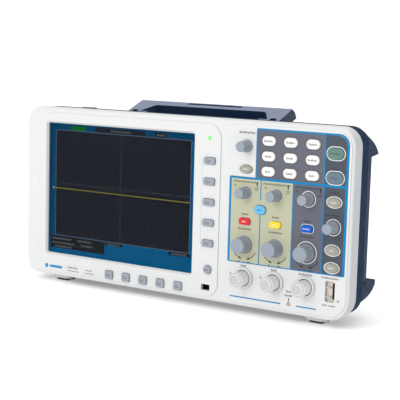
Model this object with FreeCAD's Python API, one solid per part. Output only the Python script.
"""Slim bench oscilloscope: two channels, front panel with keys, knobs and screen.

Design frame used by every function below, in millimetres:
  X  across the front, 0 at the middle, + to the right as seen from the front
  Y  into the instrument, 0 at the front face of the panel
  Z  up, 0 at the bottom edge of the panel
save() moves each finished piece into the part's own frame, whose origin is the
middle of the overall box, on the surface that the instrument stands on.
"""
import FreeCAD
import Part
import math
import os

# ---------------------------------------------------------------- driving dimensions
WIDTH = 340.0            # overall width of the case
HEIGHT = 155.0           # height of the front bezel
BEZEL_DEPTH = 13.0       # depth of the white front shell
BAND_DEPTH = 28.0        # end of the straight band of the rear case
BACK_WALL = 50.0         # rear face of the back wall
BUMPER_DEPTH = 66.5      # tips of the two upper corner bumpers
LOWER_EXTRA = 2.5        # the lower bumpers reach this much further back
FOOT_DROP = 7.5          # the feet hold the bezel this far off the table
CAP_PROUD = 14.0         # connector caps stand this far out of the front face
WALL = 2.5               # shell wall thickness
FRONT_WALL = 3.2         # front wall, from the face to its inner side
MARGIN_STEP = 0.8        # the two raised fields stand this far proud of the margin
CORNER_R = 19.0          # corner radius of the front outline
SWEEP_WIDTH = 27.0       # the left end of the front curves back over this width
SWEEP_DEPTH = 8.0        # and by this much at the left edge

SCREEN_X = -59.8         # middle of the screen window
SCREEN_Z = 81.0
WINDOW_W = 160.0
WINDOW_H = 120.0

KEY_GAP = 0.25           # clearance round a key in the panel
FLANGE = 0.8             # a key's retaining flange is this much larger all round
FLANGE_Y = 3.5
STEM_END = 7.6
BOARD_Y = 9.0            # front face of the control board
BOARD_T = 1.6

OVERLAY_T = 0.4
OVERLAY_LEFT = 57.1      # left edge of the lower printed field
OVERLAY_STEP = 81.6      # left edge of the upper printed field
OVERLAY_RIGHT = 165.2
OVERLAY_BOTTOM = 37.2
OVERLAY_MIDDLE = 108.9
OVERLAY_TOP = 149.5

KNOB_GAP = 0.6           # gap between a knob and the panel
KNOB_PROUD = 12.0
SHAFT_R = 3.0
SHAFT_FIT = 0.05         # running clearance of a shaft in its bushing

SCREW_X = 157.0          # case screws join the rear case to the bezel
SCREW_ZS = (35.3, 105.0)
BOSS_R = 3.0

HINGE_Y = 38.0           # axis of the carrying handle
HINGE_Z = 149.5
HANDLE_TILT = 22.0       # the stowed handle slopes up to the rear by this angle
HANDLE_HALF = 79.0
HANDLE_X = 2.0           # the handle sits this far right of the middle
POCKET_HALF = 80.5       # pocket in the case top that the handle lies in
POCKET_FLOOR = 141.0
POCKET_FRONT = 31.0
PIN_R = 1.75

FOOT_X = 133.8           # middle of a front tilt foot
FOOT_W = 13.6
FOOT_AXIS_Y = 17.4
FOOT_AXIS_Z = -2.6
FOOT_REAR = 34.5         # rear end of the stowed leg
FOOT_CEILING = 3.4       # roof of the recess that the leg lies in
BRACKET_HALF = 9.3       # half width of the bracket that carries the foot
EAR_W = 2.2

# ---------------------------------------------------------------- front panel layout
SOFT_X = 37.1            # column of soft keys right of the screen
SOFT_ZS = [119.4 - 17.47 * i for i in range(5)]
MENU_Z = 8.9            # row of menu keys below the screen
MENU_XS = [-66.5 + 18.59 * i for i in range(5)]
FUNCTION_XS = (93.7, 113.7, 133.8)
FUNCTION_ZS = (139.9, 127.4, 115.0)

COL_CH1 = 73.0
COL_CH2 = 101.9
COL_TIME = 130.9
COL_TRIG = 153.8
ROW_POSITION = 96.0
ROW_MENU = 72.2
ROW_SCALE = 52.8
ROW_INPUT = 24.7
INPUT_XS = (73.0, 102.0, 131.0)

# name: (x, z, width, height, corner radius, proud)
KEYS = {}
for index, z in enumerate(SOFT_ZS, 1):
    KEYS["soft_key_%d" % index] = (SOFT_X, z, 10.9, 5.8, 1.4, 1.8)
for index, x in enumerate(MENU_XS, 1):
    KEYS["menu_key_%d" % index] = (x, MENU_Z, 8.4, 7.4, 1.2, 1.8)
for row, z in enumerate(FUNCTION_ZS):
    for column, x in enumerate(FUNCTION_XS):
        KEYS["function_key_%d" % (3 * row + column + 1)] = (x, z, 12.0, 7.8, 3.85, 1.6)
KEYS["menu_off_key"] = (37.7, 27.0, 7.4, 7.4, 3.7, 1.8)
KEYS["copy_key"] = (72.6, 115.4, 11.8, 6.8, 3.4, 1.6)
KEYS["run_stop_key"] = (153.6, 134.0, 14.5, 9.2, 4.6, 1.6)
KEYS["single_key"] = (153.6, 114.8, 14.5, 9.2, 4.6, 1.6)
KEYS["math_key"] = (87.3, 83.1, 10.4, 7.0, 3.4, 1.8)
KEYS["channel_1_key"] = (COL_CH1, ROW_MENU, 10.4, 5.8, 2.0, 1.8)
KEYS["channel_2_key"] = (COL_CH2, ROW_MENU, 10.8, 5.8, 2.8, 1.8)
KEYS["timebase_key"] = (COL_TIME, ROW_MENU, 10.0, 5.8, 1.8, 1.8)
KEYS["trigger_menu_key"] = (COL_TRIG, 95.6, 11.8, 7.4, 3.6, 1.6)
KEYS["half_level_key"] = (COL_TRIG, 57.3, 11.8, 7.4, 3.6, 1.6)
KEYS["force_key"] = (COL_TRIG, 43.2, 11.8, 7.4, 3.6, 1.6)

DISHED_KEYS = ("run_stop_key", "single_key", "trigger_menu_key", "half_level_key",
               "force_key", "copy_key")
OVAL_KEYS = ("trigger_menu_key", "half_level_key", "force_key", "copy_key")

# name: (x, z, skirt radius, front radius)
KNOBS = {
    "multipurpose_knob": (72.9, 134.4, 5.3, 4.2),
    "channel_1_position_knob": (COL_CH1, ROW_POSITION, 5.3, 4.2),
    "channel_2_position_knob": (COL_CH2, ROW_POSITION, 5.3, 4.2),
    "time_position_knob": (COL_TIME, ROW_POSITION, 5.3, 4.2),
    "trigger_level_knob": (COL_TRIG, 75.6, 5.3, 4.2),
    "channel_1_scale_knob": (COL_CH1, ROW_SCALE, 7.6, 6.3),
    "channel_2_scale_knob": (COL_CH2, ROW_SCALE, 7.6, 6.3),
    "timebase_knob": (COL_TIME, ROW_SCALE, 7.6, 6.3),
}

BUSHING_R = 3.5
BUSHING_HOLE_R = 3.8
INPUT_HOLE_R = 7.0
INPUT_RING_R = 9.6
INPUT_RING_H = 2.0
BNC_R = 4.8              # bayonet connector barrel, ahead of its lugs
BNC_FRONT = 4.2          # length of that stretch
LED_X, LED_Z, LED_R = 36.3, 138.3, 1.7
PORT_X, PORT_Z, PORT_W, PORT_H = 35.8, 11.5, 8.4, 5.2
COMP_X, COMP_Z, COMP_W, COMP_H = 153.2, 24.0, 8.4, 17.0

POWER_X, POWER_Y, POWER_L, POWER_W = -108.0, 20.5, 15.6, 6.6
POWER_HOLE_GAP = 0.3
POWER_TOP = 156.0

SIDE_FACE = -157.5       # flat face on the left side that carries the mains parts
INLET_Y, INLET_Z = 38.4, 58.0
ROCKER_Y, ROCKER_Z = 38.6, 86.5
FLAT_BOTTOM, FLAT_TOP = 41.0, 98.5

DATA_ROW_Z = 42.0        # row of sockets on the back wall
TRIGGER_OUT_X = 128.0
NETWORK_X = 104.0
DEVICE_X = 82.0
VIDEO_X = 50.0

REAR_FOOT_X, REAR_FOOT_Y, REAR_FOOT_R = 109.0, 46.0, 7.5
REAR_FOOT_H = 9.4
FAR = 400.0              # longer than anything in the instrument

Y_MIDDLE = (BUMPER_DEPTH + LOWER_EXTRA - CAP_PROUD) / 2.0


# ---------------------------------------------------------------- helpers
def vec(x, y, z):
    return FreeCAD.Vector(x, y, z)


def box(x0, x1, y0, y1, z0, z1):
    return Part.makeBox(x1 - x0, y1 - y0, z1 - z0, vec(x0, y0, z0))


def rod_y(x, z, radius, y0, y1):
    return Part.makeCylinder(radius, y1 - y0, vec(x, y0, z), vec(0, 1, 0))


def rod_x(y, z, radius, x0, x1):
    return Part.makeCylinder(radius, x1 - x0, vec(x0, y, z), vec(1, 0, 0))


def rod_z(x, y, radius, z0, z1):
    return Part.makeCylinder(radius, z1 - z0, vec(x, y, z0), vec(0, 0, 1))


def corner_arc(cx, cz, radius, start, y):
    """Quarter circle in the plane y, counter-clockwise from angle start."""
    points = []
    for step in (0, 45, 90):
        angle = math.radians(start + step)
        points.append(vec(cx + radius * math.cos(angle), y, cz + radius * math.sin(angle)))
    return Part.Arc(*points).toShape()


def outline(x0, x1, z0, z1, y, radii):
    """Closed rectangle with round corners; radii run right-top, left-top, left-bottom, right-bottom."""
    if not isinstance(radii, (tuple, list)):
        radii = (radii,) * 4
    corners = ((x1, z1, -1, -1, 0), (x0, z1, 1, -1, 90), (x0, z0, 1, 1, 180), (x1, z0, -1, 1, 270))
    edges = []
    ends = []
    for (cx, cz, dx, dz, start), radius in zip(corners, radii):
        if radius <= 0:
            ends.append((vec(cx, y, cz), vec(cx, y, cz)))
            edges.append(None)
            continue
        arc = corner_arc(cx + dx * radius, cz + dz * radius, radius, start, y)
        edges.append(arc)
        ends.append((arc.valueAt(arc.FirstParameter), arc.valueAt(arc.LastParameter)))
    chain = []
    for index in range(4):
        if edges[index] is not None:
            chain.append(edges[index])
        leave = ends[index][1]
        arrive = ends[(index + 1) % 4][0]
        if leave.distanceToPoint(arrive) > 1e-6:
            chain.append(Part.makeLine(leave, arrive))
    return Part.Wire(chain)


def plate(x0, x1, z0, z1, y0, y1, radii=0.0):
    face = Part.Face(outline(x0, x1, z0, z1, y0, radii))
    return face.extrude(vec(0, y1 - y0, 0))


def centred(x, z, width, height, y0, y1, radii=0.0):
    return plate(x - width / 2, x + width / 2, z - height / 2, z + height / 2, y0, y1, radii)


def prism(points, direction):
    """Extrude a closed polygon of points along direction."""
    return Part.Face(Part.makePolygon(points + [points[0]])).extrude(direction)


def fuse(shapes):
    first, rest = shapes[0], shapes[1:]
    return first.multiFuse(rest).removeSplitter() if rest else first


def cut(shape, tools):
    return shape.cut(Part.Compound(tools)) if tools else shape


def edges_at_y(shape, y):
    return [edge for edge in shape.Edges
            if abs(edge.BoundBox.YMin - y) < 1e-4 and abs(edge.BoundBox.YMax - y) < 1e-4]


def soften(shape, y, radius):
    """Round the edges of shape that lie in the plane y."""
    return shape.makeFillet(radius, edges_at_y(shape, y))


def turned(shape, point, axis, degrees):
    result = shape.copy()
    result.rotate(point, axis, degrees)
    return result


def mirrored(shape):
    return shape.mirror(vec(0, 0, 0), vec(1, 0, 0))


def ring(x, z, outer, inner, y0, y1):
    return rod_y(x, z, outer, y0, y1).cut(rod_y(x, z, inner, y0 - 1, y1 + 1))


def save(name, solids):
    """Write one sub-part as a STEP file in the part's own frame."""
    solids = solids if isinstance(solids, list) else [solids]
    pieces = []
    for shape in solids:
        pieces.extend(shape.Solids)
    result = pieces[0] if len(pieces) == 1 else Part.Compound(pieces)
    result = result.copy()
    result.translate(vec(0, -Y_MIDDLE, FOOT_DROP))
    result.exportStep("parts/%s.step" % name)


# ---------------------------------------------------------------- front shell
def sweep_prism(offset):
    """Everything in front of the curved left end of the bezel, moved back by offset."""
    radius = (SWEEP_WIDTH ** 2 + SWEEP_DEPTH ** 2) / (2 * SWEEP_DEPTH)
    x_start = -WIDTH / 2 + SWEEP_WIDTH
    half = math.asin(SWEEP_WIDTH / radius) / 2
    start = vec(x_start, offset, -5)
    middle = vec(x_start - radius * math.sin(half), offset + radius * (1 - math.cos(half)), -5)
    end = vec(-WIDTH / 2, offset + SWEEP_DEPTH, -5)
    wire = Part.Wire([
        Part.Arc(start, middle, end).toShape(),
        Part.makeLine(end, vec(-WIDTH / 2 - 5, offset + SWEEP_DEPTH + 3, -5)),
        Part.makeLine(vec(-WIDTH / 2 - 5, offset + SWEEP_DEPTH + 3, -5), vec(-WIDTH / 2 - 5, -9, -5)),
        Part.makeLine(vec(-WIDTH / 2 - 5, -9, -5), vec(x_start, -9, -5)),
        Part.makeLine(vec(x_start, -9, -5), start),
    ])
    return Part.Face(wire).extrude(vec(0, 0, HEIGHT + 10))


def key_blank(name, grow, y0, y1):
    """Solid with the outline of a key, grown all round by grow."""
    x, z, width, height, radius, _ = KEYS[name]
    half_w, half_h = width / 2 + grow, height / 2 + grow
    if name in OVAL_KEYS:
        ellipse = Part.Ellipse(vec(x + half_w, y0, z), vec(x, y0, z + half_h), vec(x, y0, z))
        return Part.Face(Part.Wire(ellipse.toShape())).extrude(vec(0, y1 - y0, 0))
    return centred(x, z, 2 * half_w, 2 * half_h, y0, y1, min(radius + grow, half_w, half_h))


def panel_holes(y0, y1):
    """Holes for every key, knob bushing and connector, between two depths."""
    holes = [key_blank(name, KEY_GAP, y0, y1) for name in KEYS]
    for x, z, _, _ in KNOBS.values():
        holes.append(rod_y(x, z, BUSHING_HOLE_R, y0, y1))
    for x in INPUT_XS:
        holes.append(rod_y(x, ROW_INPUT, INPUT_HOLE_R, y0, y1))
    return holes


def overlay_blank(y0, y1, grow):
    lower = plate(OVERLAY_LEFT - grow, OVERLAY_RIGHT + grow, OVERLAY_BOTTOM - grow,
                  OVERLAY_MIDDLE + grow, y0, y1, (0, 1.5, 1.5, 1.5))
    upper = plate(OVERLAY_STEP - grow, OVERLAY_RIGHT + grow, OVERLAY_MIDDLE - 8,
                  OVERLAY_TOP + grow, y0, y1, (9.0, 1.5, 0, 0))
    return fuse([lower, upper])


def window_cut():
    """Screen opening with a chamfered surround."""
    opening = centred(SCREEN_X, SCREEN_Z, WINDOW_W, WINDOW_H, -2, FRONT_WALL + 2, 1.5)
    flare = 1.6
    front = outline(SCREEN_X - WINDOW_W / 2 - flare, SCREEN_X + WINDOW_W / 2 + flare,
                    SCREEN_Z - WINDOW_H / 2 - flare, SCREEN_Z + WINDOW_H / 2 + flare, -0.01, 3.0)
    back = outline(SCREEN_X - WINDOW_W / 2, SCREEN_X + WINDOW_W / 2,
                   SCREEN_Z - WINDOW_H / 2, SCREEN_Z + WINDOW_H / 2, 1.8, 1.5)
    return [opening, Part.makeLoft([front, back], True, True)]


def front_bezel():
    half = WIDTH / 2
    shell = plate(-half, half, 0, HEIGHT, MARGIN_STEP, BEZEL_DEPTH,
                  (16.0, CORNER_R + 2, CORNER_R, CORNER_R))
    shell = soften(shell, MARGIN_STEP, 3.2)
    screen_field = plate(-half + 22, 47.5, 3.6, 150.4, 0, 2, (13, 10, 10, 12))
    control_field = plate(56.0, half - 2.6, 3.2, 152.0, 0, 2, (13.5, 9, 9, 16))
    fields = [soften(field, 0, 0.6) for field in (screen_field, control_field)]
    rings = []
    for x in INPUT_XS:
        rings.append(Part.makeCone(INPUT_RING_R, INPUT_RING_R - 0.9, INPUT_RING_H,
                                   vec(x, 0.3, ROW_INPUT), vec(0, -1, 0)))
    shell = fuse([shell] + fields + rings)
    cavity = plate(-half + WALL, half - WALL, WALL, HEIGHT - WALL, FRONT_WALL, BEZEL_DEPTH + 1,
                   (13.5, CORNER_R - 0.5, CORNER_R - 2.5, CORNER_R - 2.5))
    cavity = cavity.cut(sweep_prism(FRONT_WALL - 0.2))
    tools = [sweep_prism(0), cavity, overlay_blank(-1, OVERLAY_T, 0.15)]
    tools += window_cut() + panel_holes(-3, FRONT_WALL + 2)
    tools.append(rod_y(LED_X, LED_Z, LED_R + 0.15, -1, FRONT_WALL + 1))
    tools.append(centred(PORT_X, PORT_Z, PORT_W, PORT_H, -1, FRONT_WALL + 1, 0.8))
    tools.append(centred(COMP_X, COMP_Z, COMP_W, COMP_H, -1, FRONT_WALL + 1, 1.2))
    shell = cut(shell, tools)
    posts = []
    for x in (-SCREW_X, SCREW_X):
        for z in SCREW_ZS:
            posts.append(ring(x, z, BOSS_R, 1.25, FRONT_WALL + 1.0, BEZEL_DEPTH))
    roots = [rod_y(x, z, BOSS_R, FRONT_WALL - 0.4, FRONT_WALL + 1.0)
             for x in (-SCREW_X, SCREW_X) for z in SCREW_ZS]
    return fuse([shell] + posts + roots)


def control_overlay():
    sheet = overlay_blank(0, OVERLAY_T, 0)
    return cut(sheet, panel_holes(-1, OVERLAY_T + 1))


def display_lens():
    return centred(SCREEN_X, SCREEN_Z, WINDOW_W + 7, WINDOW_H + 7, FRONT_WALL + 0.05,
                   FRONT_WALL + 1.6, 2.0)


def lcd_module():
    """Panel in its pressed metal frame, with the driver board behind it."""
    x0, x1 = SCREEN_X - 86.0, SCREEN_X + 87.5
    front = FRONT_WALL + 1.9
    frame = plate(x0, x1, 15.2, 147.2, front, front + 6.5, 1.5)
    pocket = centred(SCREEN_X, SCREEN_Z, 163.0, 123.0, front - 1, front + 1.2, 0.5)
    panel = centred(SCREEN_X, SCREEN_Z, 162.6, 122.6, front + 0.3, front + 1.2, 0.4)
    driver = plate(x0 + 20, x0 + 130, 24, 52, front + 6.5, front + 7.7, 1.0)
    return [frame.cut(pocket), panel, driver]


# ---------------------------------------------------------------- keys and knobs
def panel_key(name):
    """Key cap with its retaining flange and the stem that closes its contact."""
    x, z, _, _, radius, proud = KEYS[name]
    cap = key_blank(name, 0, -proud, FLANGE_Y)
    cap = soften(cap, -proud, min(0.6, radius * 0.5))
    if name in DISHED_KEYS:
        ball_r = 22.0
        cap = cap.cut(Part.makeSphere(ball_r, vec(x, -proud - ball_r + 0.45, z)))
    flange = key_blank(name, FLANGE, FLANGE_Y, FLANGE_Y + 1.0)
    stem = rod_y(x, z, 1.7, FLANGE_Y + 1.0, STEM_END)
    return fuse([cap, flange, stem])


def panel_knob(name):
    """Fluted knob cap and the encoder shaft that it is pressed on."""
    x, z, skirt_r, front_r = KNOBS[name]
    skirt_h = 2.2
    back = -KNOB_GAP
    front = -KNOB_PROUD
    skirt = Part.makeCone(skirt_r, skirt_r - 0.35, skirt_h, vec(x, back, z), vec(0, -1, 0))
    body = Part.makeCone(skirt_r - 0.6, front_r, -front + back - skirt_h,
                         vec(x, back - skirt_h, z), vec(0, -1, 0))
    body = soften(body, front, 0.7)
    flute_count = 16 if skirt_r < 6 else 20
    flutes = []
    for index in range(flute_count):
        angle = 2 * math.pi * index / flute_count
        low = vec(x + (skirt_r - 0.25) * math.cos(angle), back - skirt_h - 0.9,
                  z + (skirt_r - 0.25) * math.sin(angle))
        high = vec(x + (front_r + 0.35) * math.cos(angle), front - 1,
                   z + (front_r + 0.35) * math.sin(angle))
        direction = high.sub(low)
        flutes.append(Part.makeCylinder(0.55, direction.Length, low, direction))
    body = cut(body, flutes)
    bore = rod_y(x, z, SHAFT_R, -9.0, 0)
    cap = fuse([skirt, body]).cut(bore)
    shaft = rod_y(x, z, SHAFT_R, -9.0, BOARD_Y - 0.6)
    flat = box(x - 5, x + 5, -10, -KNOB_GAP - 0.5, z + SHAFT_R - 0.9, z + SHAFT_R + 1)
    key_way = rod_y(x, z, SHAFT_R, -9.0, -KNOB_GAP - 0.5).common(flat)
    return [fuse([cap, key_way]), shaft.cut(flat)]


def encoder(x, z):
    """Rotary encoder: square body on the board and a bushing up to the panel."""
    body = centred(x, z, 11.6, 11.0, 4.2, BOARD_Y, 0.6)
    bushing = rod_y(x, z, BUSHING_R, 0.9, 4.2)
    return fuse([body, bushing]).cut(rod_y(x, z, SHAFT_R + SHAFT_FIT, 0, BOARD_Y - 0.3))


def control_board():
    """L-shaped board behind the keys, with the encoders, the lamp and the data port."""
    main = plate(54.0, 163.5, 5.0, 149.0, BOARD_Y, BOARD_Y + BOARD_T, (8.0, 3.0, 3.0, 15.0))
    strip = plate(30.0, 56.0, 4.6, 146.0, BOARD_Y, BOARD_Y + BOARD_T, 2.0)
    foot = plate(-75.0, 32.0, 3.6, 14.4, BOARD_Y, BOARD_Y + BOARD_T, 1.0)
    board = fuse([main, strip, foot])
    holes = [rod_y(x, ROW_INPUT, 8.6, BOARD_Y - 1, BOARD_Y + 3) for x in INPUT_XS]
    for z in SCREW_ZS:
        holes.append(rod_y(SCREW_X, z, BOSS_R + 0.6, BOARD_Y - 1, BOARD_Y + 3))
    board = cut(board, holes)
    encoders = [encoder(x, z) for x, z, _, _ in KNOBS.values()]
    dome = Part.makeSphere(LED_R, vec(LED_X, 0.5, LED_Z))
    lamp = fuse([rod_y(LED_X, LED_Z, LED_R, 0.5, BOARD_Y), dome])
    shell = centred(PORT_X, PORT_Z, PORT_W + 1.2, PORT_H + 1.2, FRONT_WALL + 0.1, BOARD_Y, 0.4)
    shell = shell.cut(centred(PORT_X, PORT_Z, PORT_W, PORT_H, 0, BOARD_Y - 0.6, 0.4))
    tongue = centred(PORT_X, PORT_Z + PORT_H / 2 - 0.35, PORT_W - 1.6, 0.7, 3.4, BOARD_Y - 0.6)
    socket = fuse([shell, tongue])
    return [board] + encoders + [lamp, socket] + probe_comp_lugs()


# ---------------------------------------------------------------- front connectors
def bnc_shell(x, z, tip, root, direction=1):
    """Bayonet connector shell along Y from its open tip to its root."""
    step = tip + direction * BNC_FRONT
    barrel = fuse([rod_y(x, z, BNC_R, *sorted((tip, step))),
                   rod_y(x, z, BNC_R - 0.3, *sorted((step, root)))])
    lug_y = step + direction * 1.6
    lugs = Part.makeCylinder(1.0, 11.4, vec(x - 5.7, lug_y, z), vec(1, 0, 0))
    bore = rod_y(x, z, 4.05, *sorted((tip - direction, tip + direction * 9.0)))
    return fuse([barrel, lugs]).cut(bore)


def bnc_insulator(x, z, tip, direction=1):
    sleeve = rod_y(x, z, 2.5, *sorted((tip + direction * 1.0, tip + direction * 9.0)))
    return sleeve.cut(rod_y(x, z, 0.7, *sorted((tip, tip + direction * 6.0))))


def bnc_sockets():
    """Three front inputs: bayonet shell on a round body, and an insulator each."""
    pieces = []
    for x in INPUT_XS:
        shell = bnc_shell(x, ROW_INPUT, -12.0, 0.0)
        collar = rod_y(x, ROW_INPUT, 6.6, 0.0, 2.0)
        body = rod_y(x, ROW_INPUT, 8.0, FRONT_WALL + 0.6, 19.0)
        neck = rod_y(x, ROW_INPUT, 6.0, 2.0, FRONT_WALL + 0.6)
        pieces.append(fuse([shell, collar, neck, body]))
        pieces.append(bnc_insulator(x, ROW_INPUT, -12.0))
    return pieces


def bnc_cap(x):
    """Push-on protective cap: a ribbed sleeve with a closed, dimpled end."""
    z = ROW_INPUT
    sleeve = rod_y(x, z, 6.35, -CAP_PROUD, -0.4)
    sleeve = soften(sleeve, -CAP_PROUD, 1.9)
    ribs = []
    for index in range(28):
        angle = 2 * math.pi * index / 28
        ribs.append(rod_y(x + 6.45 * math.cos(angle), z + 6.45 * math.sin(angle), 0.28, -11.0, -2.6))
    bore = rod_y(x, z, 5.9, -12.6, 0)
    grip_ring = ring(x, z, 5.9, 4.9, -12.0, -11.0)
    dimple = rod_y(x, z, 4.1, -CAP_PROUD - 1, -CAP_PROUD + 0.5)
    return fuse([cut(sleeve, ribs + [bore, dimple]), grip_ring])


def probe_comp_lugs():
    """Two spring tabs of the probe test output, and the block that they stand in."""
    pieces = []
    tab_x0, tab_x1 = COMP_X - 2.7, COMP_X + 0.9
    heights = (COMP_Z + 3.9, COMP_Z - 3.9)
    for z in heights:
        upright = box(tab_x0, tab_x1, -2.4, BOARD_Y - 0.05, z - 0.4, z + 0.4)
        window = box(tab_x0 + 1.0, tab_x1 - 1.0, -1.6, 0.6, z - 2, z + 2)
        pieces.append(upright.cut(window))
    block = centred(COMP_X, COMP_Z, COMP_W + 2, COMP_H + 2, FRONT_WALL + 0.2, BOARD_Y - 0.05, 0.8)
    slots = [box(tab_x0, tab_x1, 0, BOARD_Y + 1, z - 0.4, z + 0.4) for z in heights]
    slots.append(box(COMP_X + 1.6, COMP_X + 2.8, 0, BOARD_Y - 1, COMP_Z - 6.6, COMP_Z + 6.6))
    slots.append(rod_y(SCREW_X, SCREW_ZS[0], BOSS_R + 0.3, 0, BOARD_Y + 1))
    return pieces + [cut(block, slots)]


# ---------------------------------------------------------------- inner structure
def shield_chassis():
    """Pressed steel tray between the display and the boards."""
    x_half, z0, z1, y0, sheet = 151.5, 9.0, 137.5, 15.0, 1.0
    tray = plate(-x_half, x_half, z0, z1, y0, y0 + 10, 4.0)
    inner = plate(-x_half + sheet, x_half - sheet, z0 + sheet, z1 - sheet, y0 + sheet, y0 + 12, 3.0)
    holes = [rod_y(x, ROW_INPUT, 8.7, y0 - 1, y0 + 3) for x in INPUT_XS]
    holes.append(plate(-40, -10, 110, 118, y0 - 1, y0 + 3, 2.0))
    holes.append(plate(10, 60, 126, 131, y0 - 1, y0 + 3, 2.0))
    tray = cut(tray, [inner] + holes)
    posts = []
    for x in (-146, -26, -18, 146):
        for z in (20, 126):
            posts.append(rod_y(x, z, 2.5, y0 + sheet, 19.0))
    return fuse([tray] + posts)


def main_board():
    """Acquisition board with its screened input stage, processors and a heat sink."""
    board = plate(-22, 149, 13, 131, 19.0, 20.6, 2.0)
    screen_can = plate(58, 146, 34, 74, 20.6, 29.0, 1.5)
    chips = [plate(-10, 12, 84, 106, 20.6, 22.6, 0.5), plate(24, 40, 92, 108, 20.6, 22.2, 0.5),
             plate(24, 40, 66, 82, 20.6, 22.2, 0.5), plate(-12, 8, 50, 60, 20.6, 21.9, 0.4)]
    base = plate(-14, 16, 80, 110, 22.6, 24.6, 0.5)
    fins = [box(-14, 16, 24.6, 34, 80 + 4.2 * i, 81.2 + 4.2 * i) for i in range(8)]
    return [board, screen_can] + chips + [fuse([base] + fins)]


def power_supply():
    """Mains power board: transformer, reservoir capacitors and a finned cooler."""
    board = plate(-150, -30, 14, 131, 19.0, 20.6, 2.0)
    transformer = plate(-120, -88, 60, 92, 20.6, 42.0, 2.0)
    filter_choke = plate(-134, -112, 20, 36, 20.6, 36.0, 2.0)
    capacitors = [rod_y(x, 44, 6.0, 20.6, 42.0) for x in (-96, -82, -68)]
    cooler = fuse([box(-72, -40, 20.6, 24.0, 62, 104)]
                  + [box(-72 + 6 * i, -70.4 + 6 * i, 24.0, 40.0, 62, 104) for i in range(6)])
    fuse_body = rod_x(24.4, 112, 2.6, -140, -120)
    return [board, transformer, filter_choke, cooler, fuse_body] + capacitors


def case_screws():
    """Four long screws that hold the rear case to the bezel."""
    screws = []
    for x in (-SCREW_X, SCREW_X):
        for z in SCREW_ZS:
            shank = rod_y(x, z, 1.2, 7.0, BACK_WALL - 1.8)
            head = rod_y(x, z, 2.2, BACK_WALL - 1.8, BACK_WALL - 0.4)
            cross = [box(x - 1.3, x + 1.3, BACK_WALL - 1.2, BACK_WALL, z - 0.3, z + 0.3),
                     box(x - 0.3, x + 0.3, BACK_WALL - 1.2, BACK_WALL, z - 1.3, z + 1.3)]
            screws.append(cut(fuse([shank, head]), cross))
    return screws


# ---------------------------------------------------------------- rear case
def core_loft(inset, y_start, y_end):
    """Tapering main volume of the rear case, inset all round by inset."""
    front = outline(-166 + inset, 166 - inset, 1.5 + inset, 153.2 - inset, y_start,
                    CORNER_R - inset)
    rear = outline(-161 + inset, 161 - inset, 2.5 + inset, 152.6 - inset, y_end, CORNER_R - inset)
    return Part.makeLoft([front, rear], True, True)


def bumper(top, shrink):
    """One right-hand corner bumper; shrink makes the smaller solid that hollows it."""
    inner_x = 96.0 + shrink
    side = 166.5 - shrink
    near_r = CORNER_R + 3 - shrink
    if top:
        tip, tip_side, tip_z, tip_r = BUMPER_DEPTH - shrink, 160.0 - shrink, 150.0 - shrink, 25.0 - shrink
        crest, face, ledge, root = 152.8 - shrink, 131.5 + shrink, 130.0 + shrink, 128.5 + shrink
        knee = vec(0, 59.0 - shrink, 145.0 - shrink)
        near = outline(inner_x, side, 60, 153.4 - shrink, BAND_DEPTH - 3, (near_r, 0, 0, 0))
        far = outline(inner_x, tip_side, 60, tip_z, tip, (tip_r, 0, 0, 0))
    else:
        tip, tip_side, tip_r = BUMPER_DEPTH + LOWER_EXTRA - shrink, 160.5 - shrink, 20.0 - shrink
        crest, face, ledge, root = 2.2 + shrink, 21.0 - shrink, 24.5 - shrink, 25.5 - shrink
        knee = vec(0, 58.5 - shrink, 10.6 + shrink)
        near = outline(inner_x, side, 1.5 + shrink, 90, BAND_DEPTH - 3, (0, 0, 0, near_r))
        far = outline(inner_x, tip_side, 1.5 + shrink, 90, tip, (0, 0, 0, tip_r))
    taper = Part.makeLoft([near, far], True, True)
    profile = Part.Wire([
        Part.makeLine(vec(0, BAND_DEPTH - 2, crest), vec(0, 38, crest)),
        Part.Arc(vec(0, 38, crest), knee, vec(0, tip, face)).toShape(),
        Part.makeLine(vec(0, tip, face), vec(0, tip, ledge)),
        Part.makeLine(vec(0, tip, ledge), vec(0, BAND_DEPTH - 2, root)),
        Part.makeLine(vec(0, BAND_DEPTH - 2, root), vec(0, BAND_DEPTH - 2, crest)),
    ])
    profile_solid = Part.Face(profile).extrude(vec(FAR, 0, 0))
    return taper.common(profile_solid)


def bumpers(shrink):
    shapes = []
    for top in (True, False):
        right = bumper(top, shrink)
        shapes += [right, mirrored(right)]
    return shapes


def vent_slots():
    """Cooling slots through the back wall."""
    slots = []
    for column in range(12):
        for z in (62.0, 96.0):
            x = -126 + 8.4 * column
            slots.append(centred(x, z + 10, 3.4, 24, BACK_WALL - 4, BACK_WALL + 1, 1.7))
    return slots


def socket_holes():
    z = DATA_ROW_Z
    return [rod_y(TRIGGER_OUT_X, z, 6.1, BACK_WALL - 4, BACK_WALL + 1),
            centred(NETWORK_X, z, 16.6, 14.6, BACK_WALL - 4, BACK_WALL + 1, 0.5),
            centred(DEVICE_X, z, 12.6, 11.6, BACK_WALL - 4, BACK_WALL + 1, 0.5),
            centred(VIDEO_X, z, 31.4, 13.0, BACK_WALL - 4, BACK_WALL + 1, 2.0),
            box(-FAR, SIDE_FACE + 4, INLET_Y - 9.1, INLET_Y + 9.1, INLET_Z - 13.6, INLET_Z + 13.6),
            box(-FAR, SIDE_FACE + 4, ROCKER_Y - 6.6, ROCKER_Y + 6.6, ROCKER_Z - 9.7, ROCKER_Z + 9.7)]


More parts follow.
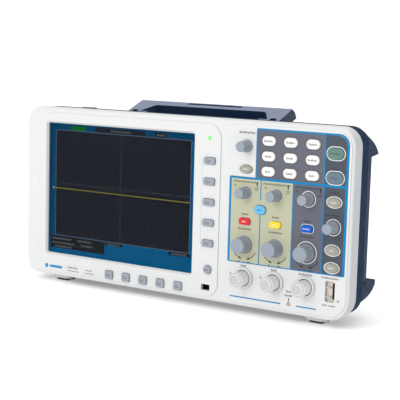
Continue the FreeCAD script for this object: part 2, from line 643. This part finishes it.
def rear_case():
    half = WIDTH / 2 - 1.0
    band = plate(-half, half, 1.0, HEIGHT - 0.3, BEZEL_DEPTH, BAND_DEPTH,
                 (15.5, CORNER_R + 1.5, CORNER_R - 0.5, CORNER_R - 0.5))
    band = soften(band, BAND_DEPTH, 1.2)
    outer = fuse([band, core_loft(0, BAND_DEPTH - 0.5, BACK_WALL)] + bumpers(0))

    hollow_band = plate(-half + WALL, half - WALL, 1 + WALL, HEIGHT - 1 - WALL, BEZEL_DEPTH - 1,
                        BAND_DEPTH - WALL, CORNER_R - 3)
    hollow = fuse([hollow_band, core_loft(WALL, BAND_DEPTH - 4, BACK_WALL - WALL)] + bumpers(WALL))
    solid_side = box(-FAR, SIDE_FACE + WALL, BAND_DEPTH - WALL, FAR, FLAT_BOTTOM - 2, FLAT_TOP + 2)
    pocket_x0, pocket_x1 = HANDLE_X - POCKET_HALF, HANDLE_X + POCKET_HALF
    pocket_lining = box(pocket_x0 - WALL, pocket_x1 + WALL, POCKET_FRONT - WALL, FAR,
                        POCKET_FLOOR - WALL, FAR)
    hollow = hollow.cut(Part.Compound([solid_side, pocket_lining]))

    pocket = box(pocket_x0, pocket_x1, POCKET_FRONT, FAR, POCKET_FLOOR, FAR)
    side_flat = box(-FAR, SIDE_FACE, BAND_DEPTH, FAR, FLAT_BOTTOM, FLAT_TOP)
    power_hole = power_button_blank(POWER_HOLE_GAP, 140, FAR)
    screw_seats = [rod_y(x, z, 2.5, BACK_WALL - 1.8, BACK_WALL + 1)
                   for x in (-SCREW_X, SCREW_X) for z in SCREW_ZS]
    pocket_half = BRACKET_HALF + 0.2
    foot_pockets = [box(x - pocket_half, x + pocket_half, BEZEL_DEPTH, FOOT_REAR + 1.0, -5, FOOT_CEILING)
                    for x in (-FOOT_X, FOOT_X)]
    tools = [hollow, pocket, side_flat, power_hole] + screw_seats + vent_slots() + socket_holes()
    shell = cut(outer, tools)

    posts = []
    for x in (-SCREW_X, SCREW_X):
        for z in SCREW_ZS:
            posts.append(rod_y(x, z, BOSS_R, BEZEL_DEPTH + 0.3, BACK_WALL - 1.8))
    linings = [box(x - pocket_half - 2.4, x + pocket_half + 2.4, BEZEL_DEPTH + 0.5, FOOT_REAR + 3.0,
                   1.8, FOOT_CEILING + WALL) for x in (-FOOT_X, FOOT_X)]
    seats = [rod_z(x, REAR_FOOT_Y, REAR_FOOT_R + 1.5, REAR_FOOT_H - FOOT_DROP, 6.0)
             for x in (-REAR_FOOT_X, REAR_FOOT_X)]
    shell = fuse([shell] + posts + handle_lugs() + linings + seats)
    bores = [rod_y(x, z, 1.35, BEZEL_DEPTH - 1, BACK_WALL)
             for x in (-SCREW_X, SCREW_X) for z in SCREW_ZS]
    return cut(shell, bores + screw_seats + foot_pockets)


def handle_lugs():
    """Two ears in the handle pocket that carry the handle's pins."""
    lugs = []
    for sign in (-1, 1):
        x0, x1 = sorted((HANDLE_X + sign * 69.3, HANDLE_X + sign * 74.7))
        upright = box(x0, x1, HINGE_Y - 4.2, HINGE_Y + 4.2, POCKET_FLOOR - 1, HINGE_Z)
        head = rod_x(HINGE_Y, HINGE_Z, 4.2, x0, x1)
        lugs.append(fuse([upright, head]).cut(rod_x(HINGE_Y, HINGE_Z, PIN_R + SHAFT_FIT, x0 - 1, x1 + 1)))
    return lugs


# ---------------------------------------------------------------- handle and feet
def carry_handle():
    """Folding handle: open frame with a thick grip at the rear, and its two pivot pins."""
    outline_uv = [(-3.0, 4.3), (25.5, 4.3), (29.0, -0.4), (29.7, -6.6), (18.0, -6.2), (9.0, -4.6),
                  (-2.2, -4.6), (-4.6, -2.2), (-4.6, 2.4)]
    points = [vec(-HANDLE_HALF, HINGE_Y + u, HINGE_Z + v) for u, v in outline_uv]
    blank = prism(points, vec(2 * HANDLE_HALF, 0, 0))

    def slot(front_half, rear_half, u0, u1, radius):
        """Opening seen from above, with round rear corners."""
        y0, y1, low = HINGE_Y + u0, HINGE_Y + u1, HINGE_Z - 20
        corners = [vec(-front_half, y0, low), vec(front_half, y0, low),
                   vec(rear_half, y1, low), vec(-rear_half, y1, low)]
        body = prism(corners, vec(0, 0, 40))
        upright = [edge for edge in body.Edges
                   if edge.BoundBox.ZLength > 39 and edge.BoundBox.YMin > y1 - 0.1]
        return body.makeFillet(radius, upright)

    openings = [slot(66.5, 57.5, 2.6, 16.6, 5.5), slot(58.0, 58.0, -20.0, 10.0, 0.8)]
    for sign in (-1, 1):
        x0, x1 = sorted((sign * 69.0, sign * 75.0))
        openings.append(box(x0, x1, HINGE_Y - 10, HINGE_Y + 4.8, HINGE_Z - 20, HINGE_Z + 20))
    groove = box(-26.0, 30.0, HINGE_Y + 21.4, HINGE_Y + 24.2, HINGE_Z + 3.1, HINGE_Z + 6)
    frame = cut(blank, openings + [groove])
    end_edges = [edge for edge in frame.Edges
                 if abs(edge.BoundBox.XMin) > HANDLE_HALF - 0.01 and edge.BoundBox.XLength < 1e-6
                 and edge.BoundBox.YMin > HINGE_Y + 4]
    frame = frame.makeFillet(0.8, end_edges)
    bores = []
    pins = []
    for sign in (-1, 1):
        x0, x1 = sorted((sign * 62.0, sign * 77.0))
        bores.append(rod_x(HINGE_Y, HINGE_Z, PIN_R, x0, x1))
        pins.append(rod_x(HINGE_Y, HINGE_Z, PIN_R, x0, x1))
    frame = cut(frame, bores)
    centre = vec(0, HINGE_Y, HINGE_Z)
    shapes = [turned(shape, centre, vec(1, 0, 0), HANDLE_TILT) for shape in [frame] + pins]
    return [shape.translated(vec(HANDLE_X, 0, 0)) for shape in shapes]


def foot_brackets():
    """White bracket under each front corner: a base plate with two ears bored for the pivot."""
    brackets = []
    for x in (-FOOT_X, FOOT_X):
        y0, y1 = FOOT_AXIS_Y - 2.9, FOOT_AXIS_Y + 2.9
        parts = [box(x - BRACKET_HALF, x + BRACKET_HALF, y0, 30.0, FOOT_CEILING - 1.2, FOOT_CEILING)]
        for side in (-1, 1):
            x0, x1 = sorted((x + side * (BRACKET_HALF - EAR_W), x + side * BRACKET_HALF))
            parts.append(box(x0, x1, y0, y1, FOOT_AXIS_Z, FOOT_CEILING))
            parts.append(rod_x(FOOT_AXIS_Y, FOOT_AXIS_Z, 2.9, x0, x1))
        bore = rod_x(FOOT_AXIS_Y, FOOT_AXIS_Z, 1.3 + SHAFT_FIT, x - 10, x + 10)
        brackets.append(fuse(parts).cut(bore))
    return brackets


def tilt_foot(x):
    """Fold-out foot: a moulded leg that lies under the case, its pivot pin and a rubber pad."""
    x0, x1 = x - FOOT_W / 2, x + FOOT_W / 2
    front, sole = FOOT_AXIS_Y - 3.1, -FOOT_DROP + 2.0
    leg = box(x0, x1, front, FOOT_REAR, sole, 1.0)
    leg = leg.makeFillet(1.4, [edge for edge in leg.Edges if edge.BoundBox.XLength > 1])
    hollow = box(x0 + 2.5, x1 - 2.5, 22.5, FOOT_REAR - 3, sole + 3.0, 5)
    bore = rod_x(FOOT_AXIS_Y, FOOT_AXIS_Z, 1.3, x0 - 2.4, x1 + 2.4)
    pad = plate(x - 6.0, x + 6.0, -FOOT_DROP, sole, front + 1.6, FOOT_AXIS_Y + 11.5)
    pad = pad.makeFillet(1.2, [edge for edge in pad.Edges if edge.BoundBox.ZMax < -FOOT_DROP + 0.01])
    return [cut(leg, [hollow, bore]), bore, pad]


def rear_feet():
    """Two rubber feet under the rear of the case."""
    feet = []
    for x in (-REAR_FOOT_X, REAR_FOOT_X):
        foot = Part.makeCone(REAR_FOOT_R - 1.0, REAR_FOOT_R, REAR_FOOT_H,
                             vec(x, REAR_FOOT_Y, -FOOT_DROP), vec(0, 0, 1))
        rim = [edge for edge in foot.Edges if edge.BoundBox.ZMax < -FOOT_DROP + 0.01]
        feet.append(foot.makeFillet(0.8, rim))
    return feet


# ---------------------------------------------------------------- power and sockets
def power_button_blank(grow, z0, z1):
    """Upright solid with the button's long round outline."""
    half = POWER_L / 2 + grow
    radius = POWER_W / 2 + grow
    middle = box(POWER_X - half + radius, POWER_X + half - radius, POWER_Y - radius, POWER_Y + radius,
                 z0, z1)
    ends = [rod_z(POWER_X + side * (half - radius), POWER_Y, radius, z0, z1) for side in (-1, 1)]
    return fuse([middle] + ends)


def power_button():
    cap = power_button_blank(0, 150.6, POWER_TOP)
    rim = [edge for edge in cap.Edges if edge.BoundBox.ZMin > POWER_TOP - 0.01]
    cap = cap.makeFillet(0.7, rim)
    flange = power_button_blank(1.0, 149.4, 150.6)
    stem = rod_z(POWER_X, POWER_Y, 2.0, 143.0, 149.4)
    return fuse([cap, flange, stem])


def mains_inlet():
    """Three-pin appliance inlet, set in the flat of the left side."""
    flange = box(SIDE_FACE - 1.5, SIDE_FACE, INLET_Y - 10.3, INLET_Y + 10.3, INLET_Z - 16, INLET_Z + 16)
    body = box(SIDE_FACE, SIDE_FACE + 17, INLET_Y - 9.0, INLET_Y + 9.0, INLET_Z - 13.5, INLET_Z + 13.5)
    well = box(SIDE_FACE - 2, SIDE_FACE + 14.5, INLET_Y - 8.0, INLET_Y + 8.0, INLET_Z - 12, INLET_Z + 12)
    chamfer = [edge for edge in well.Edges
               if edge.BoundBox.XLength > 10 and edge.BoundBox.YMax > INLET_Y]
    housing = fuse([flange, body]).cut(well.makeChamfer(3.5, chamfer))
    pins = []
    for y, z in ((INLET_Y - 2, INLET_Z - 7), (INLET_Y + 2.5, INLET_Z), (INLET_Y - 2, INLET_Z + 7)):
        pins.append(box(SIDE_FACE + 2, SIDE_FACE + 14.5, y - 2, y + 2, z - 1, z + 1))
    return [housing] + pins


def rocker_frame():
    flange = box(SIDE_FACE - 1.5, SIDE_FACE, ROCKER_Y - 7.6, ROCKER_Y + 7.6, ROCKER_Z - 10.8,
                 ROCKER_Z + 10.8)
    body = box(SIDE_FACE, SIDE_FACE + 12, ROCKER_Y - 6.5, ROCKER_Y + 6.5, ROCKER_Z - 9.5, ROCKER_Z + 9.5)
    well = box(SIDE_FACE - 2, SIDE_FACE + 9, ROCKER_Y - 5.3, ROCKER_Y + 5.3, ROCKER_Z - 8.4,
               ROCKER_Z + 8.4)
    return fuse([flange, body]).cut(well)


def mains_rocker():
    """Rocker paddle, at rest tipped to the off side."""
    y0, y1 = ROCKER_Y - 5.0, ROCKER_Y + 5.0
    x_axis = SIDE_FACE + 3.0
    points = [vec(x_axis - 4.8, y0, ROCKER_Z - 7.6), vec(x_axis - 5.4, y0, ROCKER_Z),
              vec(x_axis - 4.8, y0, ROCKER_Z + 7.6), vec(x_axis + 0.6, y0, ROCKER_Z + 6.4),
              vec(x_axis + 2.4, y0, ROCKER_Z), vec(x_axis + 0.6, y0, ROCKER_Z - 6.4)]
    paddle = prism(points, vec(0, y1 - y0, 0))
    return turned(paddle, vec(x_axis, 0, ROCKER_Z), vec(0, 1, 0), 7.0)


def rear_sockets():
    """Sockets on the back wall: trigger output, network, device port and video."""
    z = DATA_ROW_Z
    face = BACK_WALL
    nut = rod_y(TRIGGER_OUT_X, z, 8.0, face, face + 1.6)
    stud = rod_y(TRIGGER_OUT_X, z, 6.0, face - 8, face)
    shell = bnc_shell(TRIGGER_OUT_X, z, face + 13.0, face + 1.6, -1)
    trigger = [fuse([shell, nut, stud]), bnc_insulator(TRIGGER_OUT_X, z, face + 13.0, -1)]
    network = centred(NETWORK_X, z, 16.4, 14.4, face - 14, face + 0.4, 0.4)
    network = network.cut(centred(NETWORK_X, z - 1, 11.8, 8.4, face - 11, face + 1))
    device = centred(DEVICE_X, z, 12.4, 11.4, face - 14, face + 0.4, 0.4)
    device = device.cut(centred(DEVICE_X, z, 8.6, 8.0, face - 9, face + 1, 0.6))
    tongue = centred(DEVICE_X, z, 5.6, 3.2, face - 9, face - 1)
    video_plate = centred(VIDEO_X, z, 31.2, 12.8, face - 2.6, face + 0.4, 2.0)
    video_shell = centred(VIDEO_X, z, 16.6, 8.0, face + 0.4, face + 5.4, 2.0)
    video = fuse([video_plate, video_shell])
    pin_holes = []
    for row, shift in ((-2.2, 0.0), (0.0, 1.1), (2.2, 0.0)):
        for column in range(5):
            pin_holes.append(rod_y(VIDEO_X - 4.8 + shift + 2.2 * column, z + row, 0.55, face, face + 6))
    return trigger + [network, fuse([device, tongue]), cut(video, pin_holes)]


def io_sockets():
    return mains_inlet() + [rocker_frame()] + rear_sockets()


# ---------------------------------------------------------------- write the parts
def build():
    os.makedirs("parts", exist_ok=True)
    save("front_bezel", front_bezel())
    save("control_overlay", control_overlay())
    save("display_lens", display_lens())
    save("lcd_module", lcd_module())
    save("control_board", control_board())
    save("bnc_sockets", bnc_sockets())
    save("shield_chassis", shield_chassis())
    save("main_board", main_board())
    save("power_supply", power_supply())
    save("rear_case", rear_case())
    save("case_screws", case_screws())
    save("io_sockets", io_sockets())
    save("rear_feet", rear_feet())
    save("foot_brackets", foot_brackets())
    save("carry_handle", carry_handle())
    save("tilt_foot_left", tilt_foot(-FOOT_X))
    save("tilt_foot_right", tilt_foot(FOOT_X))
    save("power_button", power_button())
    save("mains_rocker", mains_rocker())
    for index, x in enumerate(INPUT_XS, 1):
        save("bnc_cap_%d" % index, bnc_cap(x))
    for name in KEYS:
        save(name, panel_key(name))
    for name in KNOBS:
        save(name, panel_knob(name))


build()
